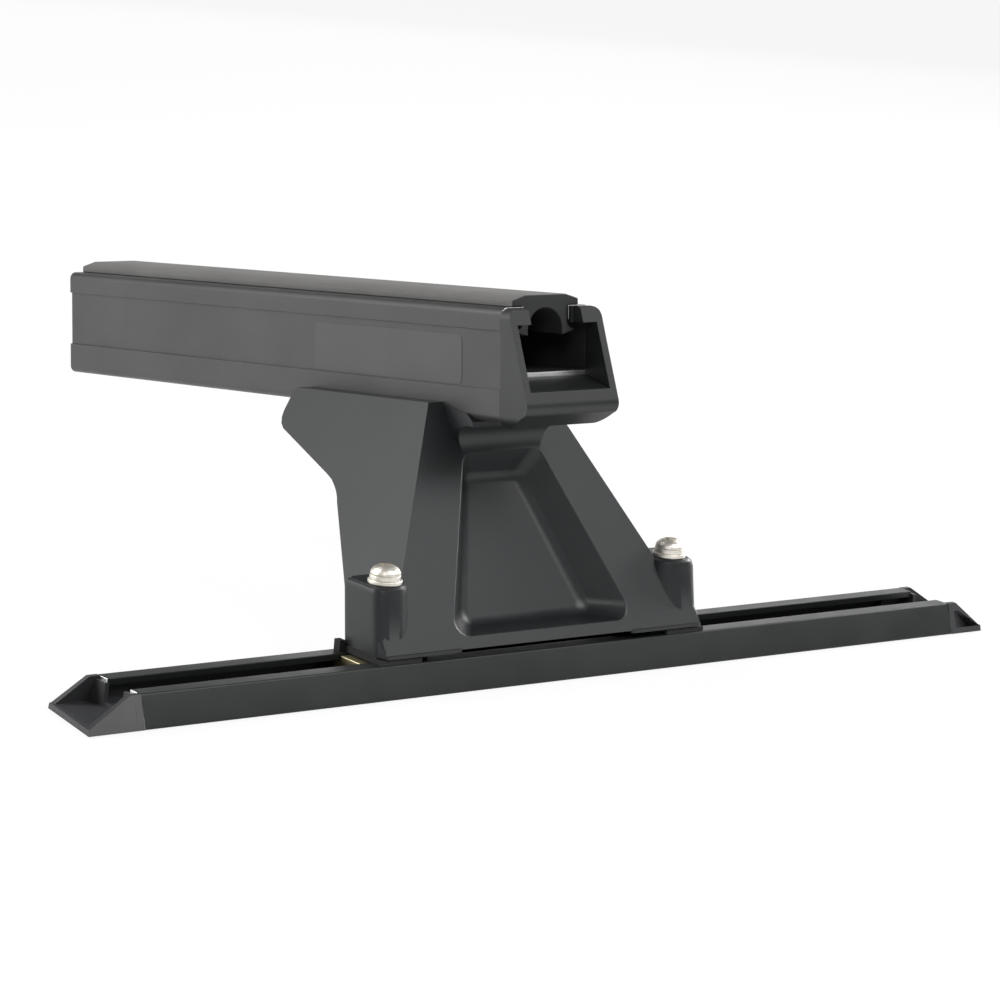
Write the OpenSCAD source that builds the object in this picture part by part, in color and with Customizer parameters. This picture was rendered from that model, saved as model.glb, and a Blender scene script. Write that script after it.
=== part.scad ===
// Roof bar foot on a short roof track, with a cut length of crossbar.
// Frame: X runs along the track, -Y is the outer side of the roof, +Z is up from the roof panel.
// Origin: middle of the flat underside of the track.

/* [Track] */

// Length of the roof track between its cut ends
track_length = 366; // [320:1:600]

// Width of the track across its top face
track_top_width = 26.8; // [26:0.1:30]

// Width of the track across its flat underside
track_base_width = 34.2; // [33:0.1:40]

// Height of the track
track_height = 11.1; // [11:0.1:14]

// Width of the open slot along the top of the track
track_slot_width = 13.6; // [13:0.1:15]

// Thickness of the lips that hold the channel nuts down
track_lip = 2.4; // [2:0.1:3]

// Thickness of the track floor and side walls
track_wall = 2.0; // [1.6:0.1:2.2]

// Length of the longer side of a track end cap, measured from the cut end
end_cap_long = 21.4; // [18:0.1:26]

// Length of the shorter side of a track end cap, measured from the cut end
end_cap_short = 15.6; // [14:0.1:18]

/* [Foot] */

// Position of the middle of the foot along the track
foot_position = -13.5; // [-90:0.5:90]

// Slope of the roof across the vehicle, taken up by the leg, in degrees
roof_slope = 7.3; // [5:0.1:9]

// Distance between the two track screws
screw_spacing = 128; // [122:0.5:132]

// Height of the screw seats above the track
seat_height = 25.5; // [22:0.5:28]

// Half width of the upright screw bosses
boss_half_width = 8; // [7.8:0.1:8.6]

// Height of the underside of the bar above the track, at the near end of the bar
bar_rise = 78.9; // [74:0.1:90]

// Half width of the front face at the height of the underside of the bar
face_half_width = 29.7; // [28:0.1:31]

// Widening of the front face on each side for each millimetre down
face_spread = 0.52; // [0.5:0.01:0.54]

// Height of the saddle lips beside the bar
lip_height = 5.4; // [4:0.1:8]

// Thickness of the pads between the foot and the track
pad_thickness = 2.2; // [2:0.1:3]

/* [Bar] */

// Length of the crossbar piece
bar_length = 278; // [240:1:1200]

// Width of the crossbar
bar_width = 39.5; // [38:0.1:41]

// Height of the crossbar
bar_height = 40; // [39:0.5:42]

// Depth of the recessed middle band on each side of the bar
bar_recess = 0.8; // [0.5:0.1:1]

// Width of the open slot along the top of the bar
bar_slot_width = 20; // [19:0.5:21]

// Height of the rubber strip above the bar
strip_rise = 4; // [3:0.1:5]

/* [Fixings] */

// Thread diameter of the track screws and bar bolts
thread_diameter = 6; // [5.5:0.1:6]

// Diameter of the button head of a track screw
head_diameter = 10.5; // [10:0.1:11]

// Height of the button head of a track screw
head_height = 3.3; // [3:0.1:4]

// Outer diameter of a flat washer
washer_diameter = 12; // [11.5:0.1:12.5]

// Thickness of the flat and the split washers
washer_thickness = 1.6; // [1.2:0.1:1.8]

// Length of a channel nut along the track
nut_length = 23; // [20:0.5:30]

/* [Hidden] */

$fn = 64;
eps = 0.02;
thread_r = thread_diameter / 2;
running_gap = 0.05;
hole_gap = 0.25;
slide_gap = 0.3;
track_half = track_length / 2;
side_spread = (track_base_width - track_top_width) / 2;
boss_x = screw_spacing / 2;
screw_reach = 7.3;
screw_length = seat_height + 2 * washer_thickness + screw_reach;
foot_low = pad_thickness;
foot_mid = 3;
face_low_y = -13.1;
foot_end = boss_x + 6.8;
foot_inner = boss_x - 26;
foot_front = face_low_y - 0.6;
foot_back = 11.4;
boss_shoulder = 2.4;
bar_out_y = -0.6;
bar_corner = 2.6;
band_low = 11.5;
band_high = 31.9;
bar_floor = 2.4;
web_low = 15.4;
web_high = 17.1;
lip_low = bar_height - 5;
chamber_half = bar_width / 2 - 2.05;
cheek = 0.8;
cap_inner_half = chamber_half;
bolt_y = [52, 96];
bolt_seat = -11;
bolt_length = 20;
bolt_head_r = 5.6;
nut_plate_top = bar_floor + 4;
arm_end = 113.4;
arm_depth = 9.1;
arm_bend_y = 97.1;
arm_bend_depth = 13.5;
heel_y = 72.2;
heel_depth = 22.4;
heel_curve = [[3.6, 1.5], [6.6, 3.4], [8.6, 4.9], [10.6, 6.8], [12.2, 8.9]];
tongue_reach = 15;
tongue_half = 16;
pocket_depth = 10;
pocket_top_half = 17.5;
pocket_low_half = 42.2;
pocket_top = 12.7;
pocket_low = 79.6;
pocket_corner = 5.5;
panel_thickness = 17.5;
hollow_back = 60;
rib_x = 18;
rib_thickness = 3;
sleeve_r = 4.8;
far = 200;

// Places

// Foot frame: middle of the foot on the top face of the track
module at_foot() {
  translate([foot_position, 0, track_height]) children();
}

// Bar frame: middle of the underside at the near end of the bar, bar running along +Y
module at_bar() {
  at_foot()
    translate([0, bar_out_y, bar_rise])
      rotate([-roof_slope, 0, 0])
        children();
}

// Bar frame coordinates [y, z] of a point given in the foot frame
function in_bar(y, z) = [
  (y - bar_out_y) * cos(roof_slope) - (z - bar_rise) * sin(roof_slope),
  (y - bar_out_y) * sin(roof_slope) + (z - bar_rise) * cos(roof_slope)
];

// Extrudes a drawing in the Y-Z plane along X, centred
module side_profile(width) {
  translate([-width / 2, 0, 0])
    rotate([90, 0, 90])
      linear_extrude(width)
        children();
}

// Extrudes a drawing in the X-Z plane from y0 to y1
module front_profile(y0, y1) {
  translate([0, y1, 0])
    rotate([90, 0, 0])
      linear_extrude(y1 - y0)
        children();
}

// Points on an arc, for profiles
function arc(c, r, a0, a1, n) = [
  for (i = [0:n]) let (a = a0 + (a1 - a0) * i / n) c + r * [cos(a), sin(a)]
];

// Rectangle with rounded corners
module rounded_rect(w, h, r) {
  translate([-w / 2 + r, 0]) square([w - 2 * r, h]);
  translate([-w / 2, r]) square([w, h - 2 * r]);
  for (x = [-w / 2 + r, w / 2 - r])
    for (y = [r, h - r])
      translate([x, y]) circle(r);
}

// Track

module track_section() {
  top = track_top_width / 2;
  base = track_base_width / 2;
  lean = side_spread / track_height;
  inner_low = base - lean * track_wall - track_wall - 0.2;
  inner_high = base - lean * (track_height - track_lip) - track_wall - 0.2;
  difference() {
    polygon([
      [-base, 0], [base, 0], [base, 0.9],
      [top, track_height - 0.5], [top - 0.5, track_height],
      [-top + 0.5, track_height], [-top, track_height - 0.5], [-base, 0.9]
    ]);
    polygon([
      [-inner_low, track_wall], [inner_low, track_wall],
      [inner_high, track_height - track_lip], [track_slot_width / 2, track_height - track_lip],
      [track_slot_width / 2, track_height + 1], [-track_slot_width / 2, track_height + 1],
      [-track_slot_width / 2, track_height - track_lip], [-inner_high, track_height - track_lip]
    ]);
  }
}

module track() {
  color("#26282a") side_profile(track_length) track_section();
}

// One wedge end for the track: the cut end is at x = 0 and the wedge points to -X
module track_end_cap_shape() {
  base = track_base_width / 2;
  top = track_top_width / 2;
  lean = side_spread / track_height;
  floor_t = 2.1;
  wall_t = 2.3;
  inner_low = base - lean * track_wall - track_wall - 0.2;
  inner_high = base - lean * (track_height - track_lip) - track_wall - 0.2;
  plug = 12;
  // floor plate with its slanted end
  intersection() {
    linear_extrude(floor_t)
      polygon([[0, -base], [-end_cap_long, -base], [-end_cap_short, base], [0, base]]);
    side_profile(80) wedge_section(base, top);
  }
  // side walls, ramped down to the tip, with a shallow inset panel on the outside
  for (s = [-1, 1]) {
    long = s < 0 ? end_cap_long : end_cap_short;
    difference() {
      intersection() {
        side_profile(80)
          difference() {
            wedge_section(base, top);
            wedge_section(base - wall_t, top - wall_t, -1);
            translate([s > 0 ? -60 : 0, -1]) square([60, 20]);
          }
        translate([0, 30, 0])
          rotate([90, 0, 0])
            linear_extrude(60)
              polygon([
                [0, 0], [0, track_height], [-4, track_height], [-long + 0.6, floor_t], [-long + 1, 0]
              ]);
      }
      translate([0, s * (base + 0.9), 0])
        rotate([s * atan(lean), 0, 0])
          translate([0, 0.9, 0])
            rotate([90, 0, 0])
              linear_extrude(1.8)
                polygon([
                  [-2.6, 1.6], [-2.6, track_height - 2.2], [-4.6, track_height - 2.2], [-long + 4.6, 1.6]
                ]);
    }
  }
  // tongues that plug into the channel
  for (s = [-1, 1])
    side_profile_from(0, plug)
      polygon([
        [s * (inner_low - running_gap), track_wall + running_gap],
        [s * (inner_high - running_gap), track_height - track_lip - running_gap],
        [s * (inner_high - 2), track_height - track_lip - running_gap],
        [s * (inner_low - 2.6), track_wall + running_gap]
      ]);
  side_profile_from(-1, plug - 3)
    translate([-inner_low + 2, track_wall + running_gap]) square([2 * inner_low - 4, 1.4]);
  // upright web that ties the tongues to the side walls
  side_profile_from(-1.6, 0)
    intersection() {
      wedge_section(base - 1, top - 1);
      union() {
        translate([-base, 0]) square([base - track_slot_width / 2 + 1.2, track_height - 1]);
        translate([track_slot_width / 2 - 1.2, 0]) square([base, track_height - 1]);
        translate([-base, 0]) square([2 * base, track_wall + 1.4]);
      }
    }
}

module wedge_section(b, t, low = 0) {
  high = track_height + (low < 0 ? 1 : 0);
  polygon([[-b, low], [b, low], [t, high], [-t, high]]);
}

module side_profile_from(x0, x1) {
  translate([x0, 0, 0])
    rotate([90, 0, 90])
      linear_extrude(x1 - x0)
        children();
}

module track_end_cap_left() {
  color("#3a3b3d") translate([-track_half, 0, 0]) track_end_cap_shape();
}

module track_end_cap_right() {
  color("#3a3b3d") translate([track_half, 0, 0]) rotate([0, 0, 180]) track_end_cap_shape();
}

// Bar

module bar_section() {
  difference() {
    translate([0, 0]) rounded_rect(bar_width, bar_height, bar_corner);
    for (s = [-1, 1])
      translate([s * bar_width / 2 - bar_recess, band_low]) square([2 * bar_recess, band_high - band_low]);
    translate([-chamber_half, bar_floor]) square([2 * chamber_half, web_low - bar_floor]);
    translate([-chamber_half, web_high]) square([2 * chamber_half, lip_low - web_high]);
    translate([-bar_slot_width / 2, web_high]) square([bar_slot_width, bar_height]);
  }
}

module cross_bar() {
  color("#2b2c2e") at_bar() difference() {
    front_profile(0, bar_length) bar_section();
    for (y = bolt_y)
      translate([0, y, -1]) cylinder(r = thread_r + hole_gap, h = bar_floor + 2);
  }
}

module bar_strip() {
  crown = 14.75;
  flat = 9.1;
  neck = bar_slot_width / 2 - slide_gap;
  barb = neck + 3.2;
  arch = 7.6;
  arch_z = bar_height - 0.6 - arch;
  color("#3c3d3f") at_bar() front_profile(0.3, bar_length - 1.5)
    difference() {
      polygon([
        [-crown, bar_height], [-crown, bar_height + 2.3], [-flat, bar_height + strip_rise],
        [flat, bar_height + strip_rise], [crown, bar_height + 2.3], [crown, bar_height],
        [neck, bar_height], [neck, lip_low], [neck + 0.5, lip_low - 1.6], [neck + 1.6, lip_low - 2.7],
        [barb, lip_low - 3.1], [barb, lip_low - 3.9], [neck - 1.5, lip_low - 5.1],
        [-neck + 1.5, lip_low - 5.1], [-barb, lip_low - 3.9], [-barb, lip_low - 3.1],
        [-neck - 1.6, lip_low - 2.7], [-neck - 0.5, lip_low - 1.6], [-neck, lip_low], [-neck, bar_height]
      ]);
      translate([0, arch_z]) circle(arch);
      translate([-arch, 0]) square([2 * arch, arch_z]);
    }
}

// Side outline of the bar end cap, in the bar frame
module end_cap_side() {
  polygon(concat(
    [[0, -1.2], [0, bar_height - 0.2]],
    arc([-3.1, bar_height - 2.2], 2, 90, 160, 5),
    [[-8.3, 28.2], [-15.1, 7.9]],
    arc([-11.6, 6.4], 3.8, 160, 255, 7),
    [[-6, -1.2]]
  ));
}

module bar_end_cap() {
  half = bar_width / 2 + cheek;
  lip_half = 11.6;
  color("#303133") at_bar() {
    difference() {
      intersection() {
        front_profile(-20, 0)
          translate([0, -1.2]) rounded_rect(2 * half, bar_height + 1, 3.8);
        side_profile(60) end_cap_side();
      }
      // open frame with the sill sloping up to the web of the bar
      side_profile(2 * cap_inner_half)
        polygon([
          [1, web_low + 0.4], [0, web_low + 0.2], [-13.2, web_low - 3.8], [-20, web_low - 5],
          [-20, lip_low - 0.8], [1, lip_low - 0.8]
        ]);
      // gap between the two lips, closer at the back where it covers the cut of the bar
      front_profile(-20, -1.2)
        translate([-lip_half, lip_low - 3]) square([2 * lip_half, 12]);
      front_profile(-1.3, 1)
        translate([-bar_slot_width / 2 - 0.2, lip_low - 3]) square([bar_slot_width + 0.4, 12]);
      // cored from the back
      translate([-15, -9.5, 3.6]) cube([30, 12, 8]);
      // shadow gaps beside the recessed bands of the bar
      for (s = [-1, 1])
        translate([s > 0 ? chamber_half + 0.6 : -half - 1, -0.5, band_low + 0.3])
          cube([half + 1 - chamber_half - 0.6, 1, band_high - band_low - 0.6]);
    }
    // hollow plug that goes into the lower chamber of the bar
    difference() {
      translate([-chamber_half + running_gap, -1, bar_floor + running_gap])
        cube([2 * (chamber_half - running_gap), 13, web_low - bar_floor - 2 * running_gap]);
      translate([-15, -9.5, 4.6]) cube([30, 30, 7]);
    }
  }
}

module bar_nut_plate() {
  color("#b9a45a") at_bar() difference() {
    translate([-13, bolt_y[0] - 14, bar_floor])
      cube([26, bolt_y[1] - bolt_y[0] + 28, 4]);
    for (y = bolt_y)
      translate([0, y, 0]) cylinder(r = thread_r + running_gap, h = 12);
  }
}

module bar_bolt(y) {
  color("#b8b9ba") at_bar() translate([0, y, bolt_seat - washer_thickness]) {
    cylinder(r = thread_r, h = bolt_length);
    translate([0, 0, -4]) cylinder(r = bolt_head_r, h = 4, $fn = 6);
  }
}

module bar_bolt_front() {
  bar_bolt(bolt_y[0]);
}

module bar_bolt_rear() {
  bar_bolt(bolt_y[1]);
}

module bar_bolt_washer(y) {
  color("#c4c5c6") at_bar() translate([0, y, bolt_seat - washer_thickness]) difference() {
    cylinder(d = washer_diameter, h = washer_thickness);
    translate([0, 0, -1]) cylinder(r = thread_r + hole_gap, h = 5);
  }
}

module bar_bolt_washer_front() {
  bar_bolt_washer(bolt_y[0]);
}

module bar_bolt_washer_rear() {
  bar_bolt_washer(bolt_y[1]);
}

// Leg

// Line of the front face in the bar frame: y for a given z
face_top_y = 29.6;
face_lean = (face_top_y - in_bar(face_low_y, foot_mid)[0]) / (0 - in_bar(face_low_y, foot_mid)[1]);
function face_y(z) = face_top_y + face_lean * z;
function face_half(z) = face_half_width - face_spread * z;

// Side outline of the stem and arm, in the bar frame
module leg_side() {
  polygon(concat(
    [in_bar(face_low_y, foot_mid), [face_y(14), 14]],
    [[arm_end - 0.6, 14], [arm_end - 0.6, 1.3], [arm_end, 6.2 - arm_depth]],
    [[arm_end - 0.3, 3.9 - arm_depth], [arm_end - 1.6, 1.7 - arm_depth], [arm_end - 4, -arm_depth]],
    [[arm_bend_y, -arm_bend_depth], [heel_y, -heel_depth]],
    [for (d = heel_curve) [heel_y - d[0], -heel_depth - d[1]]],
    [in_bar(12, foot_mid)]
  ));
}

// Tongue that carries the bar ahead of the front face, hollowed underneath by a cove
module leg_tongue() {
  normal = [cos(atan(face_lean)), -sin(atan(face_lean))];
  intersection() {
    side_profile(bar_width + 3)
      polygon(concat(
        [[face_y(-15) + 3, -15], [face_y(-15), -15]],
        arc([face_y(-13), -13] - 8 * normal, 8, -atan(face_lean), 80, 7),
        [[face_top_y - tongue_reach, -2.4], [face_top_y - tongue_reach, -0.5], [face_top_y - 11.6, 2.2]],
        [[face_top_y - 6.3, 2.9], [face_top_y - 0.8, 4.6], [face_top_y + 3, lip_height]],
        [[face_top_y + 6.4, 0], [face_top_y + 6.4, -tongue_reach]]
      ));
    front_profile(0, 60)
      polygon([
        [-tongue_half, -16], [tongue_half, -16], [bar_width / 2 + 1, -3], [bar_width / 2 + 1, 8],
        [-bar_width / 2 - 1, 8], [-bar_width / 2 - 1, -3]
      ]);
  }
}

// Trapezoid outline of the leg seen from the outer side, in the bar frame
module leg_front(inset = 0) {
  low = -90;
  polygon([
    [-face_half(low) + inset, low], [face_half(low) - inset, low],
    [face_half(lip_height) - inset, lip_height], [-face_half(lip_height) + inset, lip_height]
  ]);
}

// Outline of the pocket in the face: half widths at the top and bottom, corners rounded
function pocket_outline(top, low, s0, s1, r) = let (
  k = atan((low - top) / (s1 - s0)),
  c0 = top - r * (1 / cos(k) - tan(k)),
  c1 = low - r * (1 / cos(k) + tan(k))
) concat(
  arc([c1, s1 - r], r, -k, 90, 5), arc([-c1, s1 - r], r, 90, 180 + k, 5),
  arc([-c0, s0 + r], r, 180 + k, 270, 4), arc([c0, s0 + r], r, -90, -k, 4)
);

// Flared recess sunk square to the sloping front face, its floor left bare
module front_pocket() {
  mid = (pocket_top + pocket_low) / 2;
  translate([0, face_top_y, 0])
    rotate([-atan(face_lean), 0, 0])
      translate([0, -1, -mid])
        rotate([-90, 0, 0])
          linear_extrude(pocket_depth + 1, scale = [0.68, 0.79], slices = 1)
            polygon(pocket_outline(
              pocket_top_half, pocket_low_half, pocket_top - mid, pocket_low - mid, pocket_corner
            ));
}

// Space behind the front panel, open to the rear, with two upright ribs left standing
module rear_hollow() {
  difference() {
    intersection() {
      side_profile(far)
        polygon([
          [face_y(-18) + panel_thickness, bolt_seat], [hollow_back, bolt_seat], [hollow_back, -38],
          [hollow_back * 1.5, -38], [hollow_back, -90], [face_y(-90) + panel_thickness, -90],
          [face_y(-18) + panel_thickness, -18]
        ]);
      front_profile(-far, far) leg_front(5);
    }
    for (s = [-1, 1])
      translate([s * rib_x - rib_thickness / 2, 0, -far]) cube([rib_thickness, far, far]);
  }
}

// Plan of a boss at one height: the front is round towards the stem, with a tighter outer corner
function boss_plan(front, half, back, r) = concat(
  arc([half - r, -front + r], r, 0, -90, 6), arc([0, -front + half], half, -90, -180, 8),
  arc([-half + 3, back - 3], 3, 180, 90, 3), arc([half - 3, back - 3], 3, 90, 0, 3)
);

module boss_slice(z, plan) {
  translate([0, 0, z]) linear_extrude(0.1) polygon(plan);
}

// Drafted boss with a rounded shoulder under the washers
module boss_body(s) {
  w = boss_half_width;
  top = seat_height - 0.1;
  translate([s * boss_x, 0, 0]) mirror([s < 0 ? 1 : 0, 0, 0]) hull() {
    boss_slice(foot_low, boss_plan(11, w, foot_back - 0.2, 4));
    boss_slice(foot_low + 7, boss_plan(9.7, w, foot_back + 0.6, 4.5));
    boss_slice(top - boss_shoulder, boss_plan(8.1, w - 0.1, foot_back + 2.8, 5.5));
    boss_slice(top - boss_shoulder * 0.3, boss_plan(7.5, w - 0.6, foot_back + 2.2, 5.2));
    boss_slice(top, boss_plan(6.6, w - 1.5, foot_back + 1.2, 5));
  }
}

// Everything ahead of the sloping front face
module ahead_of_face() {
  at_bar() side_profile(far)
    polygon([[face_y(-110), -110], [face_y(14), 14], [-far, 14], [-far, -110]]);
}

// Web that carries the front of a boss out to the square corner of the base
module boss_flare(s) {
  r = 1.5;
  hull() {
    translate([s * boss_x, 0, 0]) mirror([s < 0 ? 1 : 0, 0, 0]) {
      boss_slice(foot_low, boss_plan(11, boss_half_width - 0.3, 4, 4));
      boss_slice(foot_low + 7.5, boss_plan(9.5, boss_half_width - 0.3, 4, 4.5));
    }
    translate([s * (foot_end - r), foot_front + r, foot_low]) cylinder(r = r, h = 1.1, $fn = 32);
    translate([s * (foot_inner + 14), foot_front + r, foot_low]) cylinder(r = r, h = 1.1, $fn = 32);
  }
}

module leg() {
  color("#2a2b2c") difference() {
    union() {
      difference() {
        union() {
          // stem and arm, with two low lips along the sides of the bar
          at_bar() intersection() {
            side_profile(far) leg_side();
            front_profile(-far / 2, far) leg_front();
            side_profile(far)
              polygon([
                [-20, -far], [-20, lip_height], [arm_end - 2.2, lip_height],
                [arm_end + 1, lip_height - 3.2], [arm_end + 1, -far]
              ]);
          }
          at_bar() leg_tongue();
        }
        // bed for the bar
        at_bar() front_profile(-far, far) rounded_rect(bar_width + 0.1, far, bar_corner);
        at_bar() front_pocket();
        difference() {
          at_bar() rear_hollow();
          at_foot() translate([-far / 2, -far / 2, foot_mid + 6.5 - far]) cube(far);
        }
        // clear space for the screw heads and washers beside the stem
        at_foot() for (s = [-1, 1])
          translate([s * boss_x, 0, seat_height]) cylinder(r = washer_diameter / 2 + 0.9, h = 30);
      }
      difference() {
        at_foot() for (s = [-1, 1]) boss_flare(s);
        ahead_of_face();
      }
      at_foot() for (s = [-1, 1]) {
        boss_body(s);
        // flat foot under each boss, a little proud of the face
        translate([s * (foot_end + foot_inner) / 2, foot_front, foot_low])
          linear_extrude(1.2) rounded_rect(foot_end - foot_inner, foot_back - foot_front, 1.5);
      }
    }
    // bores for the sleeves
    at_foot() for (s = [-1, 1])
      translate([s * boss_x, 0, -1]) cylinder(r = sleeve_r, h = seat_height + 2);
    // bolt holes through the saddle, and the spot faces below it
    at_bar() for (y = bolt_y)
      translate([0, y, -40]) cylinder(r = thread_r + hole_gap, h = 50);
    at_bar() translate([0, bolt_y[1], bolt_seat - 20]) cylinder(r = 8, h = 20);
  }
}

// Fixings on the track

module foot_pad(s) {
  pad_end = boss_x + boss_half_width + slide_gap + 0.1;
  stop = pad_end - 0.1;
  pad_inner = boss_x - 13.8;
  color("#1d1e1f") at_foot() difference() {
    union() {
      translate([s > 0 ? pad_inner : -pad_end, -9.4, 0])
        cube([pad_end - pad_inner, 21.4, pad_thickness]);
      // front lip, lower than the pad, flush with the edge of the track
      translate([s > 0 ? pad_inner + 5 : -pad_end, 0.5 - track_top_width / 2, 0])
        cube([pad_end - pad_inner - 5, 8, pad_thickness - 0.5]);
      // stop that stands up behind the outer corner of the foot
      translate([s > 0 ? stop : -stop - 2.3, 8.6, 0]) cube([2.3, 3.4, 4]);
    }
    translate([s * boss_x, 0, -1]) cylinder(r = thread_r + hole_gap, h = 10);
  }
}

module foot_pad_left() {
  foot_pad(-1);
}

module foot_pad_right() {
  foot_pad(1);
}

module boss_sleeve(s) {
  color("#bfc0c2") at_foot() translate([s * boss_x, 0, foot_low]) difference() {
    cylinder(r = sleeve_r - eps, h = seat_height - foot_low);
    translate([0, 0, -1]) cylinder(r = thread_r + running_gap, h = seat_height + 2);
  }
}

module boss_sleeve_left() {
  boss_sleeve(-1);
}

module boss_sleeve_right() {
  boss_sleeve(1);
}

module mount_screw(s) {
  seat = seat_height + 2 * washer_thickness;
  head_r = head_diameter / 2;
  color("#d9d6cc") at_foot() translate([s * boss_x, 0, seat]) {
    translate([0, 0, -screw_length]) cylinder(r = thread_r, h = screw_length + 0.2);
    difference() {
      rotate_extrude()
        polygon([
          [0, 0], [head_r - 0.25, 0], [head_r, 0.3], [head_r, 0.75], [head_r * 0.93, 1.55],
          [head_r * 0.8, 2.35], [head_r * 0.6, 3.0], [head_r * 0.42, head_height], [0, head_height]
        ]);
      translate([0, 0, head_height - 2]) cylinder(r = 2.3, h = 3, $fn = 6);
    }
  }
}

module mount_screw_left() {
  mount_screw(-1);
}

module mount_screw_right() {
  mount_screw(1);
}

module spring_washer(s) {
  color("#cfccc2") at_foot() translate([s * boss_x, 0, seat_height + washer_thickness]) difference() {
    cylinder(d = washer_diameter - 1.2, h = washer_thickness);
    translate([0, 0, -1]) cylinder(r = thread_r + running_gap, h = 5);
    rotate([0, 0, s > 0 ? 150 : 60])
      translate([0, -0.25, -1]) rotate([25, 0, 0]) cube([10, 0.5, 6]);
  }
}

module spring_washer_left() {
  spring_washer(-1);
}

module spring_washer_right() {
  spring_washer(1);
}

module flat_washer(s) {
  color("#d4d1c8") at_foot() translate([s * boss_x, 0, seat_height]) difference() {
    cylinder(d = washer_diameter, h = washer_thickness);
    translate([0, 0, -1]) cylinder(r = thread_r + running_gap, h = 5);
  }
}

module flat_washer_left() {
  flat_washer(-1);
}

module flat_washer_right() {
  flat_washer(1);
}

module channel_nut(s) {
  neck = track_slot_width / 2 - slide_gap;
  color("#b59a3c") at_foot() translate([s * boss_x, 0, 0]) difference() {
    union() {
      translate([-nut_length / 2, -neck, -track_lip - 0.2]) cube([nut_length, 2 * neck, track_lip - 0.5]);
      translate([-nut_length / 2, -10, -track_lip - 4.6]) cube([nut_length, 20, 4.5]);
    }
    translate([0, 0, -12]) cylinder(r = thread_r + running_gap, h = 20);
  }
}

module channel_nut_left() {
  channel_nut(-1);
}

module channel_nut_right() {
  channel_nut(1);
}

leg();
cross_bar();
bar_strip();
bar_end_cap();
bar_nut_plate();
bar_bolt_front();
bar_bolt_rear();
bar_bolt_washer_front();
bar_bolt_washer_rear();
foot_pad_left();
foot_pad_right();
boss_sleeve_left();
boss_sleeve_right();
mount_screw_left();
mount_screw_right();
spring_washer_left();
spring_washer_right();
flat_washer_left();
flat_washer_right();
channel_nut_left();
channel_nut_right();
track();
track_end_cap_left();
track_end_cap_right();
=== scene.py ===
import bpy
import math
from mathutils import Matrix, Vector


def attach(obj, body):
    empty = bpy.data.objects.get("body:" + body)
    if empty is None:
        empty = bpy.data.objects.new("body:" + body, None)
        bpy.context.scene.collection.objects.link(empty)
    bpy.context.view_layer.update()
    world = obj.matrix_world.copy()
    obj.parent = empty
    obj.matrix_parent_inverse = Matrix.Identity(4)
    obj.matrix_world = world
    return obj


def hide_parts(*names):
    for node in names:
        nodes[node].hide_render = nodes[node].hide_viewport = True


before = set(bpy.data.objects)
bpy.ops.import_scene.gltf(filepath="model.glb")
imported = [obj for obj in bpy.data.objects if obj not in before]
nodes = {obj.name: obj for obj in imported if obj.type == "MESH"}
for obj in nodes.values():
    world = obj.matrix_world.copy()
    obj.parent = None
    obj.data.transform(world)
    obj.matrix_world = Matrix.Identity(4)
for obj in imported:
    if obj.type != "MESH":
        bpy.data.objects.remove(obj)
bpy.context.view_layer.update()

# Sizes of the part that the looks are set by, in metres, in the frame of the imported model.
# The bar also has a frame of its own, in the middle of the underside of its front end.
FOOT_X = -0.0135
SLOPE = math.radians(7.3)
BAR_ORIGIN = Vector((FOOT_X, -0.0006, 0.090))
BAR_TURN = Matrix.Rotation(-SLOPE, 4, "X")
TO_BAR = Matrix.Translation(BAR_ORIGIN) @ BAR_TURN
BAR_AXIS = Vector((0, math.cos(SLOPE), -math.sin(SLOPE)))
BAR_UP = TO_BAR.to_3x3() @ Vector((0, 0, 1))
BAR_START = BAR_ORIGIN.dot(BAR_AXIS)
BAR_LENGTH = 0.278
STRIP_SHOWS = 0.0402
TRACK_HALF = 0.183
TRACK_TOP = 0.0111
SCREW_X = {"left": FOOT_X - 0.064, "right": FOOT_X + 0.064}
BOSS_INNER = 0.050
SEAT_Z = TRACK_TOP + 0.0255
FACE_LEAN = math.atan(0.42088)
FACE_IN = BAR_TURN.to_3x3() @ Vector((0, math.cos(FACE_LEAN), -math.sin(FACE_LEAN)))
FACE_POINT = TO_BAR @ Vector((0, 0.0296, 0))
POCKET_DEPTH = 0.010
POCKET_FILLET = 0.003
POCKET_RIM = 0.0005

# Tolerances of the modelling steps: lengths in metres, then an area in square metres, then the
# least cosines between directions that count as the same or as square, then angles
SAME_POINT = 0.000003
NEEDLE = 0.00002
SLIVER = 0.00013
IN_PLANE = 0.00005
NEAR_PLANE = 0.0001
AT_END = 0.0008
LARGE_FLAT = 0.00003
SAME_WAY = 0.998
SQUARE = 0.98
ONE_FLAT = math.radians(0.6)
SHADED_SMOOTH = math.radians(35)


# Shader maths written as expressions

class Val:
    """One value or colour in a material, that can be added to and multiplied."""

    def __init__(self, shader, socket):
        self.shader, self.socket = shader, socket

    def maths(self, operation, other):
        return self.shader.add("ShaderNodeMath", {"operation": operation}, {0: self, 1: other})

    def __add__(self, other):
        return self.maths("ADD", other)

    def __mul__(self, other):
        return self.maths("MULTIPLY", other)


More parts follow.
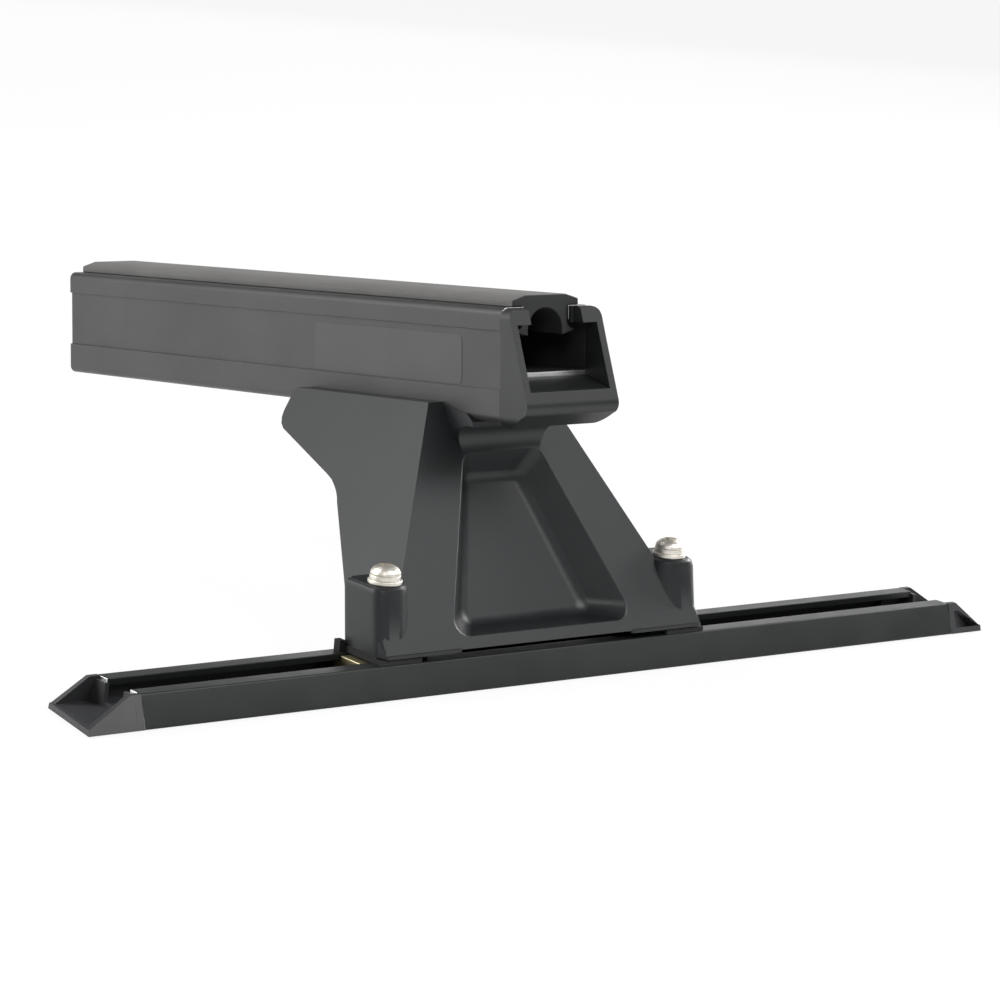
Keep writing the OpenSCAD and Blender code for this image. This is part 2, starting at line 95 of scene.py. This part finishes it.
class Shader:
    """A material with one Principled shader, and the few ways its nodes are added."""

    def __init__(self, name, **constants):
        self.material = bpy.data.materials.new(name)
        self.material.use_nodes = True
        self.tree = self.material.node_tree
        self.surface = self.tree.nodes["Principled BSDF"]
        for socket, value in constants.items():
            self.surface.inputs[socket.replace("_", " ")].default_value = value
        self.place = self.add("ShaderNodeTexCoord", out="Object")

    def add(self, kind, settings=None, inputs=None, out=0):
        """A new node: its settings first, then the values and links of its sockets."""
        node = self.tree.nodes.new(kind)
        for key, value in (settings or {}).items():
            if key == "stops":
                ramp = node.color_ramp
                while len(ramp.elements) < len(value):
                    ramp.elements.new(0.5)
                for element, (at, colour) in zip(ramp.elements, value):
                    element.position = at
                    element.color = rgb(*colour)
            else:
                setattr(node, key, value)
        for key, value in (inputs or {}).items():
            if isinstance(value, Val):
                self.tree.links.new(value.socket, node.inputs[key])
            else:
                node.inputs[key].default_value = value
        return Val(self, node.outputs[out])

    def spread(self, scale, detail=2.0, rough=0.5, stretch=None, turn=(0, 0, 0)):
        """A soft cloudy value from 0 to 1, its grain about 1/scale metres."""
        at = self.place
        if stretch:
            at = self.add("ShaderNodeMapping", {"vector_type": "POINT"},
                          {"Vector": at, "Rotation": turn, "Scale": stretch})
        return self.add("ShaderNodeTexNoise", {"noise_dimensions": "3D"},
                        {"Vector": at, "Scale": scale, "Detail": detail, "Roughness": rough})

    def between(self, value, low, high, a=0.0, b=1.0):
        """A value taken from the range low..high to a..b, held at the ends."""
        ends = {"From Min": low, "From Max": high, "To Min": a, "To Max": b}
        return self.add("ShaderNodeMapRange", {"clamp": True}, {"Value": value, **ends})

    def blend(self, share, a, b):
        """A colour between two others."""
        return self.add("ShaderNodeMix", {"data_type": "RGBA"}, {0: share, 6: a, 7: b}, out=2)

    def bump(self, height, depth, strength):
        """A normal roughened by a height, at most the depth in metres."""
        return self.add("ShaderNodeBump", None,
                        {"Height": height, "Distance": depth, "Strength": strength})

    def set(self, **links):
        """Links values to the shader's sockets, and hands over the finished material."""
        for socket, value in links.items():
            self.tree.links.new(value.socket, self.surface.inputs[socket.replace("_", " ")])
        return self.material


def rgb(*colour):
    return (*colour, 1.0)


def moulded_plastic(name, dark, light, rough, grain):
    """Filled black plastic from a spark-eroded mould, with faint flow marks and handling haze."""
    s = Shader(name, Specular_IOR_Level=0.42)
    cloud = s.spread(38, 3, 0.55)
    flow = s.spread(9, 2, 0.5, stretch=(1, 1, 0.35))
    fine = s.spread(2600, 1, 0.5)
    pits = s.spread(900, 2, 0.6)
    tone = s.between(cloud * 0.5 + flow * 0.5, 0.3, 0.7)
    haze = s.between(s.spread(75, 4, 0.6), 0.4, 0.75, -0.02, 0.035)
    return s.set(Base_Color=s.blend(tone, rgb(*dark), rgb(*light)),
                 Roughness=haze + rough,
                 Normal=s.bump(fine * 0.6 + pits * 0.4, grain, 0.5))


def powder_coat(name, dark, light, rough, along):
    """Baked black coat on an extrusion: orange peel and very faint die lines along the length."""
    s = Shader(name, Specular_IOR_Level=0.5)
    peel = s.spread(700, 2, 0.5)
    stretch = (1, 0.02, 1) if along == "Y" else (0.02, 1, 1)
    turn = (-SLOPE, 0, 0) if along == "Y" else (0, 0, 0)
    lines = s.spread(420, 2, 0.6, stretch=stretch, turn=turn)
    cloud = s.between(s.spread(22, 3, 0.5), 0.35, 0.65)
    return s.set(Base_Color=s.blend(cloud, rgb(*dark), rgb(*light)),
                 Roughness=s.between(s.spread(60, 3, 0.55), 0.35, 0.7, rough - 0.03, rough + 0.05),
                 Normal=s.bump(peel * 0.7 + lines * 0.3, 0.00004, 0.35))


def sawn_aluminium(name):
    """Bare cut end of an extrusion, with fine saw marks."""
    s = Shader(name, Metallic=1.0)
    marks = s.spread(1500, 2, 0.6, stretch=(0.08, 1, 1), turn=(0, 0.5, 0))
    dull = s.between(s.spread(300, 3, 0.6), 0.35, 0.65)
    return s.set(Base_Color=s.blend(dull, rgb(0.80, 0.81, 0.82), rgb(0.92, 0.92, 0.92)),
                 Roughness=s.between(marks, 0.3, 0.7, 0.28, 0.46),
                 Normal=s.bump(marks, 0.00005, 0.5))


def strip_rubber(name, dark, light):
    """Extruded rubber: grey, lighter where a patchy bloom lies on it. Its darker copy gives the
    cut ends their colour and paints shade in the hollow and the slot.
    """
    s = Shader(name, Specular_IOR_Level=0.35)
    fine = s.spread(1800, 2, 0.6)
    drawn = s.spread(350, 2, 0.5, stretch=(1, 0.03, 1), turn=(-SLOPE, 0, 0))
    bloom = s.between(s.spread(26, 4, 0.6), 0.4, 0.7)
    return s.set(Base_Color=s.blend(bloom, rgb(*dark), rgb(*light)),
                 Roughness=s.between(bloom, 0, 1, 0.62, 0.74),
                 Normal=s.bump(fine * 0.5 + drawn * 0.5, 0.00006, 0.45))


def pad_rubber():
    """Soft black rubber of the pads under the feet, a little dusty."""
    s = Shader("pad_rubber_black", Specular_IOR_Level=0.3)
    fine = s.spread(1500, 3, 0.6)
    dust = s.spread(60, 3)
    return s.set(Base_Color=s.blend(dust, rgb(0.012, 0.012, 0.013), rgb(0.022, 0.022, 0.023)),
                 Roughness=s.between(fine, 0.3, 0.7, 0.7, 0.85),
                 Normal=s.bump(fine, 0.00006, 0.4))


def turned_steel(name, x, y, shade):
    """Stainless steel with fine rings round the upright axis through x, y."""
    s = Shader(name, Metallic=1.0)
    at = s.add("ShaderNodeMapping", {"vector_type": "POINT"},
               {"Vector": s.place, "Location": (-x, -y, 0), "Scale": (1, 1, 0.4)})
    rings = s.add("ShaderNodeTexWave", {"wave_type": "RINGS", "rings_direction": "SPHERICAL"},
                  {"Vector": at, "Scale": 700.0, "Distortion": 1.5, "Detail": 2.0}, out="Fac")
    dull = s.between(s.spread(240, 4, 0.6), 0.35, 0.7)
    return s.set(Base_Color=s.blend(dull, rgb(*shade), rgb(0.84, 0.81, 0.75)),
                 Roughness=s.between(dull, 0, 1, 0.42, 0.54),
                 Normal=s.bump(rings, 0.00001, 0.35))


def yellow_zinc():
    """Zinc plating with the drifting yellow of a chromate bath."""
    s = Shader("yellow_zinc", Metallic=1.0)
    cloud = s.spread(90, 4, 0.55)
    stops = [(0.3, (0.50, 0.41, 0.20)), (0.5, (0.60, 0.53, 0.32)), (0.7, (0.47, 0.43, 0.30))]
    return s.set(Base_Color=s.add("ShaderNodeValToRGB", {"stops": stops}, {"Fac": cloud}),
                 Roughness=s.between(cloud, 0.3, 0.7, 0.3, 0.48),
                 Normal=s.bump(s.spread(1200, 2), 0.00003, 0.3))


def plate_film():
    """Bare dark film plate on the side of the bar: smoother than the coat round it."""
    s = Shader("bare_plate_film", Specular_IOR_Level=0.5)
    ripple = s.spread(160, 2, 0.5)
    cloud = s.between(s.spread(40, 3, 0.5), 0.35, 0.65)
    return s.set(Base_Color=s.blend(cloud, rgb(0.034, 0.033, 0.034), rgb(0.041, 0.040, 0.041)),
                 Roughness=s.between(cloud, 0, 1, 0.36, 0.42),
                 Normal=s.bump(ripple, 0.00003, 0.25))


LEG = moulded_plastic("leg_plastic_black",
                      (0.010, 0.0115, 0.0125), (0.015, 0.0165, 0.0175), 0.40, 0.00006)
CAP = moulded_plastic("cap_plastic_black",
                      (0.011, 0.012, 0.0125), (0.016, 0.017, 0.0175), 0.42, 0.00005)
TRACK_CAP = moulded_plastic("track_cap_plastic_grey",
                            (0.028, 0.029, 0.031), (0.040, 0.041, 0.043), 0.46, 0.00009)
# A lighter grey, given to the front face of the left end cap.
TRACK_CAP_LIGHTER_FRONT = moulded_plastic("track_cap_plastic_lighter_front",
                                   (0.070, 0.070, 0.070), (0.100, 0.100, 0.100), 0.5, 0.00012)
BAR_COAT = powder_coat("bar_coat_black",
                       (0.024, 0.0225, 0.0235), (0.032, 0.0305, 0.0315), 0.42, "Y")
TRACK_COAT = powder_coat("track_coat_black",
                         (0.009, 0.011, 0.0108), (0.013, 0.015, 0.0148), 0.38, "X")
SAWN = sawn_aluminium("sawn_aluminium")
STRIP = strip_rubber("strip_rubber_bloomed", (0.102, 0.100, 0.096), (0.130, 0.128, 0.123))
# The darker rubber: the plain colour of the strip's cut ends, and painted shade in its arched
# hollow and down in the slot.
STRIP_CUT_AND_SHADE = strip_rubber("strip_rubber_cut_and_painted_shade", (0.020, 0.021, 0.021), (0.028, 0.029, 0.029))
PAD = pad_rubber()
STEEL = {side: turned_steel("turned_steel_" + side, x, 0, (0.70, 0.66, 0.59))
         for side, x in SCREW_X.items()}
BOLT_STEEL = turned_steel("bolt_steel", FOOT_X, 0.07, (0.55, 0.53, 0.50))
ZINC = yellow_zinc()
FILM = plate_film()


# Ways of working a piece

def only(obj):
    """Selects one object and nothing else."""
    bpy.ops.object.select_all(action="DESELECT")
    obj.select_set(True)
    bpy.context.view_layer.objects.active = obj


def whole_faces(obj):
    """Merges the corners that lie on one another, and the triangles of each flat into one face.

    It all happens in one stay in edit mode, because the order of the faces depends on that, and
    with it how faces with openings are cut into triangles again."""
    only(obj)
    bpy.ops.object.mode_set(mode="EDIT")
    bpy.ops.mesh.select_all(action="SELECT")
    bpy.ops.mesh.remove_doubles(threshold=SAME_POINT)
    bpy.ops.mesh.dissolve_degenerate(threshold=NEEDLE)
    bpy.ops.mesh.dissolve_limited(angle_limit=ONE_FLAT)
    bpy.ops.object.mode_set(mode="OBJECT")


def blank(node, name):
    """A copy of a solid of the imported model, ready to be worked."""
    obj = bpy.data.objects.new(name, nodes[node].data.copy())
    bpy.context.scene.collection.objects.link(obj)
    obj.data.materials.clear()
    whole_faces(obj)
    return obj


def level(obj, flats, reach, zone):
    """Puts the faces of a zone that lie nearly in one of the flats back into its plane."""
    corners = obj.data.vertices
    for turn in range(3):
        for face in obj.data.polygons:
            if not any(zone(corners[i].co) for i in face.vertices):
                continue
            for normal, offset in flats:
                gap = abs(face.center.dot(normal) - offset)
                if face.normal.dot(normal) > SAME_WAY and gap < reach:
                    for i in face.vertices:
                        at = corners[i].co
                        corners[i].co = at - (at.dot(normal) - offset) * normal
        obj.data.update()


def drop_slivers(obj, node, width, zone):
    """Starts a piece again with the slivers of one zone merged, and its flats kept in plane.

    The drafted bosses have faces a tenth of a millimetre wide, which would hold back every
    eased edge of the piece."""
    flats = [(f.normal.copy(), f.center.dot(f.normal))
             for f in obj.data.polygons if f.area > LARGE_FLAT]
    obj.data = nodes[node].data.copy()
    obj.data.materials.clear()
    only(obj)
    bpy.ops.object.mode_set(mode="EDIT")
    bpy.ops.mesh.select_mode(type="VERT")
    bpy.ops.mesh.select_all(action="SELECT")
    bpy.ops.mesh.remove_doubles(threshold=SAME_POINT)
    bpy.ops.mesh.select_all(action="DESELECT")
    bpy.ops.object.mode_set(mode="OBJECT")
    for corner in obj.data.vertices:
        corner.select = zone(corner.co)
    bpy.ops.object.mode_set(mode="EDIT")
    bpy.ops.mesh.remove_doubles(threshold=width)
    bpy.ops.object.mode_set(mode="OBJECT")
    level(obj, flats, width, zone)
    whole_faces(obj)


def ease(obj, width, angle, segments):
    """Rounds the edges of a piece sharper than the angle, and shades its flats flat."""
    only(obj)
    cut = obj.modifiers.new("eased_edges", "BEVEL")
    cut.width = width
    cut.segments = segments
    cut.limit_method = "ANGLE"
    cut.angle_limit = math.radians(angle)
    cut.miter_outer = "MITER_ARC"
    bpy.ops.object.modifier_apply(modifier=cut.name)
    bpy.ops.object.shade_smooth_by_angle(angle=SHADED_SMOOTH)
    flat = obj.modifiers.new("flats_kept_flat", "WEIGHTED_NORMAL")
    flat.keep_sharp = True
    flat.weight = 80
    bpy.ops.object.modifier_apply(modifier=flat.name)


def round_edges(obj, wanted, radius, segments):
    """Rounds just the edges that pass the test."""
    only(obj)
    bpy.ops.object.mode_set(mode="EDIT")
    bpy.ops.mesh.select_mode(type="EDGE")
    bpy.ops.mesh.select_all(action="DESELECT")
    bpy.ops.object.mode_set(mode="OBJECT")
    for edge in obj.data.edges:
        edge.select = wanted(edge)
    bpy.ops.object.mode_set(mode="EDIT")
    bpy.ops.mesh.bevel(offset=radius, segments=segments, affect="EDGES")
    bpy.ops.object.mode_set(mode="OBJECT")


def two_faced(obj, main, second, seconds):
    """Gives a piece two materials, the second one on the faces that pass the test."""
    obj.data.materials.append(main)
    obj.data.materials.append(second)
    for face in obj.data.polygons:
        if seconds(face):
            face.material_index = 1


def square_to(face, axis):
    """Tells whether a face lies square across an axis."""
    return abs(face.normal.dot(axis)) > SQUARE


def cut_end(axis, *ends):
    """The test for the faces at the cut ends of an extrusion."""
    return lambda f: square_to(f, axis) and any(abs(f.center.dot(axis) - e) < AT_END for e in ends)


def fit(obj, body, material=None, replaced=None):
    """Gives a finished piece its material and its body, and hides the solid it stands for."""
    if material:
        obj.data.materials.append(material)
    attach(obj, body)
    if replaced:
        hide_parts(replaced)


def eased_solid(node, name, body, material, width, angle=30, segments=2):
    """Makes a piece that only needs its edges eased and one material."""
    obj = blank(node, name)
    ease(obj, width, angle, segments)
    fit(obj, body, material, node)


def paint(node, material):
    """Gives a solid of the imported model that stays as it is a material."""
    if not nodes[node].material_slots:
        nodes[node].data.materials.append(material)
    for slot in nodes[node].material_slots:
        slot.material = material


# The moulded leg

def depth(point):
    """How far a point lies behind the sloping face of the leg."""
    return (point - FACE_POINT).dot(FACE_IN)


def depths(obj, element):
    """The depths of the corners of an edge or a face."""
    return [depth(obj.data.vertices[i].co) for i in element.vertices]


def pocket_walls(obj):
    """The edges of the walls of the pocket, which go down more than 2 mm from the face."""
    edges = set()
    for face in obj.data.polygons:
        reach = depths(obj, face)
        if min(reach) > -NEAR_PLANE and 0.002 < max(reach) < POCKET_DEPTH + NEAR_PLANE:
            edges.update(face.edge_keys)
    return edges


def in_boss(point):
    """Tells whether a point lies in one of the two screw bosses."""
    return abs(point.x - FOOT_X) > BOSS_INNER and point.z < SEAT_Z + 0.001


def on_pocket_floor(edge):
    """Tells whether an edge of the leg lies in the floor of its pocket."""
    return all(abs(d - POCKET_DEPTH) < IN_PLANE for d in depths(leg, edge))


def on_pocket_rim(edge):
    """Tells whether an edge of the leg is where a wall of its pocket meets the sloping face."""
    return edge.key in walls and all(abs(d) < IN_PLANE for d in depths(leg, edge))


leg = blank("leg", "leg_moulding")
drop_slivers(leg, "leg", SLIVER, in_boss)
round_edges(leg, on_pocket_floor, POCKET_FILLET, 5)
walls = pocket_walls(leg)
round_edges(leg, on_pocket_rim, POCKET_RIM, 3)
ease(leg, 0.0011, 24, 3)
fit(leg, "foot", LEG, "leg")

# The crossbar and what goes on it

bar = blank("cross_bar", "crossbar_extrusion")
two_faced(bar, BAR_COAT, SAWN, cut_end(BAR_AXIS, BAR_START, BAR_START + BAR_LENGTH))
ease(bar, 0.0003, 30, 2)
fit(bar, "foot", replaced="cross_bar")


def cut_or_in_painted_shade(face):
    """The cut ends of the strip, its arched hollow and all of it that is down in the slot. These
    get the darker rubber, which in the hollow and the slot is painted shade.
    """
    height = (face.center - BAR_ORIGIN).dot(BAR_UP)
    return square_to(face, BAR_AXIS) or face.normal.dot(BAR_UP) < -0.05 or height < STRIP_SHOWS


strip = blank("bar_strip", "crossbar_rubber_strip")
two_faced(strip, STRIP, STRIP_CUT_AND_SHADE, cut_or_in_painted_shade)
ease(strip, 0.0004, 24, 2)
fit(strip, "foot", replaced="bar_strip")

eased_solid("bar_end_cap", "crossbar_end_cap", "foot", CAP, 0.0007, segments=3)

# The track

track = blank("track", "roof_track_extrusion")
two_faced(track, TRACK_COAT, SAWN, cut_end(Vector((1, 0, 0)), -TRACK_HALF, TRACK_HALF))
ease(track, 0.00025, 30, 2)
fit(track, "track_rail", replaced="track")


def lighter_front_face(face):
    """The face on the front side of an end cap, which is given a lighter grey."""
    return face.normal.y < -0.8 and face.center.y < -0.010


left_end = blank("track_end_cap_left", "track_end_wedge_left")
two_faced(left_end, TRACK_CAP, TRACK_CAP_LIGHTER_FRONT, lighter_front_face)
ease(left_end, 0.0005, 30, 2)
fit(left_end, "track_rail", replaced="track_end_cap_left")

eased_solid("track_end_cap_right", "track_end_wedge_right", "track_rail",
            TRACK_CAP, 0.0005)

# Fixings

for side in ("left", "right"):
    steel = STEEL[side]
    eased_solid("mount_screw_" + side, "button_head_screw_" + side, "screw_" + side,
                steel, 0.0002)
    for kind, width in (("flat_washer_", 0.0004), ("spring_washer_", 0.0003)):
        eased_solid(kind + side, kind + "ring_" + side, "foot", steel, width, 40, 3)
    eased_solid("foot_pad_" + side, "track_pad_" + side, "foot", PAD, 0.0006,
                segments=3)
    eased_solid("channel_nut_" + side, "channel_nut_block_" + side, "foot", ZINC,
                0.0004)
    paint("boss_sleeve_" + side, steel)

for name in ("bar_bolt_front", "bar_bolt_rear", "bar_bolt_washer_front", "bar_bolt_washer_rear"):
    eased_solid(name, name + "_steel", "foot", BOLT_STEEL, 0.0003)

paint("bar_nut_plate", ZINC)

# The bare plate on the left side of the bar, in the frame of the bar

PLATE_THICKNESS = 0.00014
PLATE_LENGTH = 0.088
PLATE_HEIGHT = 0.0173
PLATE_CORNER = 0.0022
PLATE_MIDDLE = (-0.01895 - PLATE_THICKNESS / 2, 0.067, 0.02065)

bpy.ops.object.select_all(action="DESELECT")
bpy.ops.mesh.primitive_cube_add(size=1, location=PLATE_MIDDLE,
                                scale=(PLATE_THICKNESS, PLATE_LENGTH, PLATE_HEIGHT))
plate = bpy.context.object
plate.name = "bar_side_bare_plate"
bpy.ops.object.transform_apply(location=True, rotation=True, scale=True)


def through_plate(edge):
    """Tells whether an edge of the plate runs through its thickness."""
    a, b = (plate.data.vertices[i].co for i in edge.vertices)
    return abs(a.x - b.x) > PLATE_THICKNESS / 2


round_edges(plate, through_plate, PLATE_CORNER, 8)
ease(plate, 0.00005, 60, 2)
plate.data.transform(TO_BAR)
fit(plate, "foot", FILM)

# Floor, light and camera

FLOOR_BELOW = 0.0004
FLOOR_GLOW = 0.9
WALLS_SEEN = 1.0
WALLS_AS_LIGHT = 0.16

bpy.ops.object.select_all(action="DESELECT")
bpy.ops.mesh.primitive_plane_add(size=12, location=(0, 0, -FLOOR_BELOW))
floor = bpy.context.object
floor.name = "studio_floor"


def studio_white(name, glow_share):
    """White paper that also glows where the camera looks at it, so that it stays white."""
    material = bpy.data.materials.new(name)
    material.use_nodes = True
    tree = material.node_tree
    tree.nodes.clear()
    out = tree.nodes.new("ShaderNodeOutputMaterial")
    mix = tree.nodes.new("ShaderNodeMixShader")
    paper = tree.nodes.new("ShaderNodeBsdfDiffuse")
    paper.inputs["Color"].default_value = rgb(0.86, 0.86, 0.86)
    glow = tree.nodes.new("ShaderNodeEmission")
    glow.inputs["Color"].default_value = rgb(1, 1, 1)
    glow.inputs["Strength"].default_value = 1.0
    path = tree.nodes.new("ShaderNodeLightPath")
    share = tree.nodes.new("ShaderNodeMath")
    share.operation = "MULTIPLY"
    share.inputs[1].default_value = glow_share
    tree.links.new(path.outputs["Is Camera Ray"], share.inputs[0])
    tree.links.new(share.outputs[0], mix.inputs[0])
    tree.links.new(paper.outputs[0], mix.inputs[1])
    tree.links.new(glow.outputs[0], mix.inputs[2])
    tree.links.new(mix.outputs[0], out.inputs["Surface"])
    return material


floor.data.materials.append(studio_white("studio_floor_white", FLOOR_GLOW))

world = bpy.data.worlds.new("studio")
bpy.context.scene.world = world
world.use_nodes = True
sky = world.node_tree
back = sky.nodes["Background"]
back.inputs["Color"].default_value = rgb(1, 1, 1)
path = sky.nodes.new("ShaderNodeLightPath")
strength = sky.nodes.new("ShaderNodeMix")
strength.data_type = "FLOAT"
strength.inputs[2].default_value = WALLS_AS_LIGHT
strength.inputs[3].default_value = WALLS_SEEN
sky.links.new(path.outputs["Is Camera Ray"], strength.inputs[0])
sky.links.new(strength.outputs[0], back.inputs["Strength"])

# Name, place, the point it is aimed at, width and height, power in watts
SOFT_BOXES = (
    ("rear_left_box", (-1.5, 1.1, 0.55), (0, 0.05, 0.05), (1.2, 1.0), 17),
    ("rear_box", (-1.1, 1.5, 0.7), (0, 0.05, 0.05), (1.2, 1.0), 3.7),
    ("high_left_box", (-0.9, 0.9, 1.4), (0, 0.05, 0.05), (0.9, 0.9), 14),
    ("right_box", (1.8, 0.3, 0.7), (0, 0, 0.06), (1.0, 0.9), 44),
    ("rear_right_box", (1.35, 2.0, 0.5), (0, 0, 0.03), (1.9, 0.7), 5.5),
    ("high_front_box", (0.4, -1.2, 1.5), (0, 0, 0.06), (0.9, 0.9), 19),
    ("front_right_box", (1.5, -1.5, 1.3), (0, 0, 0.06), (0.9, 0.9), 4),
    ("camera_side_box", (-1.0, -1.05, 1.0), (0, 0, 0.05), (0.45, 0.45), 6),
)

for name, place, aim, size, power in SOFT_BOXES:
    light = bpy.data.lights.new(name, "AREA")
    light.shape = "RECTANGLE"
    light.size, light.size_y = size
    light.energy = power
    box = bpy.data.objects.new(name, light)
    bpy.context.scene.collection.objects.link(box)
    box.location = place
    box.rotation_mode = "QUATERNION"
    box.rotation_quaternion = (Vector(aim) - Vector(place)).to_track_quat("-Z", "Y")

# The camera that was fitted to the straight edges in the photo
CAMERA_PLACE = (-0.85903, -1.01835, 0.34202)
CAMERA_RIGHT = (0.784047, -0.614883, 0.084792)
CAMERA_UP = (0.063656, 0.215541, 0.974418)
CAMERA_AHEAD = (0.617429, 0.758591, -0.208135)

lens = bpy.data.cameras.new("photo_camera")
lens.lens = 139.15
lens.sensor_width = 36.0
lens.clip_start, lens.clip_end = 0.05, 30
camera = bpy.data.objects.new("photo_camera", lens)
bpy.context.scene.collection.objects.link(camera)
axes = Matrix((CAMERA_RIGHT, CAMERA_UP, tuple(-c for c in CAMERA_AHEAD))).transposed()
camera.location = CAMERA_PLACE
camera.rotation_mode = "QUATERNION"
camera.rotation_quaternion = axes.to_quaternion()
bpy.context.scene.camera = camera

bpy.context.scene.view_settings.view_transform = "Standard"
